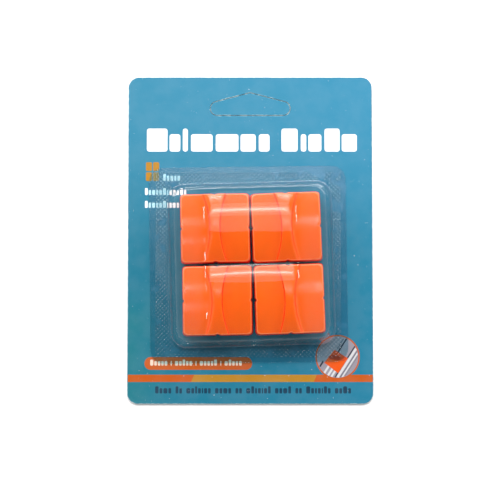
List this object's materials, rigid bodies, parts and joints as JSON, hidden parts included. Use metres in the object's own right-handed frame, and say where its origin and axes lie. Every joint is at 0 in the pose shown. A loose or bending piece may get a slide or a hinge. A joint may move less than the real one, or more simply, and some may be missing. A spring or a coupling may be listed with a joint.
{
  "type": "paper trimmer blade refill pack",
  "caption": "Hanging card with a clear domed blister over square paper-trimmer blade cartridges, each with a waisted grip that presses down against springs to lower its blade.",
  "frame": {"origin": "centre of the card's back face, the pack lying on its back", "axes": "X along the card's width, +Y up the card towards the hang tab, +Z out of the card's face"},
  "size_m": [0.116, 0.155, 0.0148],
  "materials": {
    "printed_card": "coated folding boxboard, printed teal with orange and white blocks, satin varnish, grey-white back",
    "clear_blister": "clear thermoformed PET, glossy, with a heat-seal pattern on its flange",
    "orange_cap": "injection-moulded ABS, glossy orange",
    "orange_sole": "injection-moulded ABS, satin orange",
    "blade_carrier": "moulded natural white acetal",
    "blade_steel": "ground carbon steel with a bright honed edge",
    "spring_steel": "drawn spring wire"
  },
  "bodies": {
    "card": {"backing_card": "printed_card", "sole_plate_1": "orange_sole", "spring_front_1": "spring_steel", "spring_rear_1": "spring_steel", "sole_plate_2": "orange_sole", "spring_front_2": "spring_steel", "spring_rear_2": "spring_steel", "sole_plate_3": "orange_sole", "spring_front_3": "spring_steel", "spring_rear_3": "spring_steel", "sole_plate_4": "orange_sole", "spring_front_4": "spring_steel", "spring_rear_4": "spring_steel"},
    "tab": {"hang_tab": "printed_card"},
    "blister": {"blister": "clear_blister"},
    "cap_1": {"grip_cap_1": "orange_cap", "blade_holder_1": "blade_carrier", "blade_keeper_1": "blade_carrier", "blade_1": "blade_steel"},
    "cap_2": {"grip_cap_2": "orange_cap", "blade_holder_2": "blade_carrier", "blade_keeper_2": "blade_carrier", "blade_2": "blade_steel"},
    "cap_3": {"grip_cap_3": "orange_cap", "blade_holder_3": "blade_carrier", "blade_keeper_3": "blade_carrier", "blade_3": "blade_steel"},
    "cap_4": {"grip_cap_4": "orange_cap", "blade_holder_4": "blade_carrier", "blade_keeper_4": "blade_carrier", "blade_4": "blade_steel"}
  },
  "joints": [
    {"name": "tab_push_out", "type": "slide", "parent": "card", "child": "tab", "axis": [0, 0, 1], "range_m": [0, 0.02]},
    {"name": "blister_peel", "type": "hinge", "parent": "card", "child": "blister", "pos_m": [-0.00147, 0.0345, 0.0008], "axis": [-0.9999, -0.0122, 0], "range_deg": [0, 100]},
    {"name": "cap_press_1", "type": "slide", "parent": "card", "child": "cap_1", "axis": [0, 0, -1], "range_m": [0, 0.0015], "stiffness_N_per_m": 600, "springref_m": -0.0015, "deforming": ["spring_front_1", "spring_rear_1"]},
    {"name": "cap_press_2", "type": "slide", "parent": "card", "child": "cap_2", "axis": [0, 0, -1], "range_m": [0, 0.0015], "stiffness_N_per_m": 600, "springref_m": -0.0015, "deforming": ["spring_front_2", "spring_rear_2"]},
    {"name": "cap_press_3", "type": "slide", "parent": "card", "child": "cap_3", "axis": [0, 0, -1], "range_m": [0, 0.0015], "stiffness_N_per_m": 600, "springref_m": -0.0015, "deforming": ["spring_front_3", "spring_rear_3"]},
    {"name": "cap_press_4", "type": "slide", "parent": "card", "child": "cap_4", "axis": [0, 0, -1], "range_m": [0, 0.0015], "stiffness_N_per_m": 600, "springref_m": -0.0015, "deforming": ["spring_front_4", "spring_rear_4"]}
  ]
}
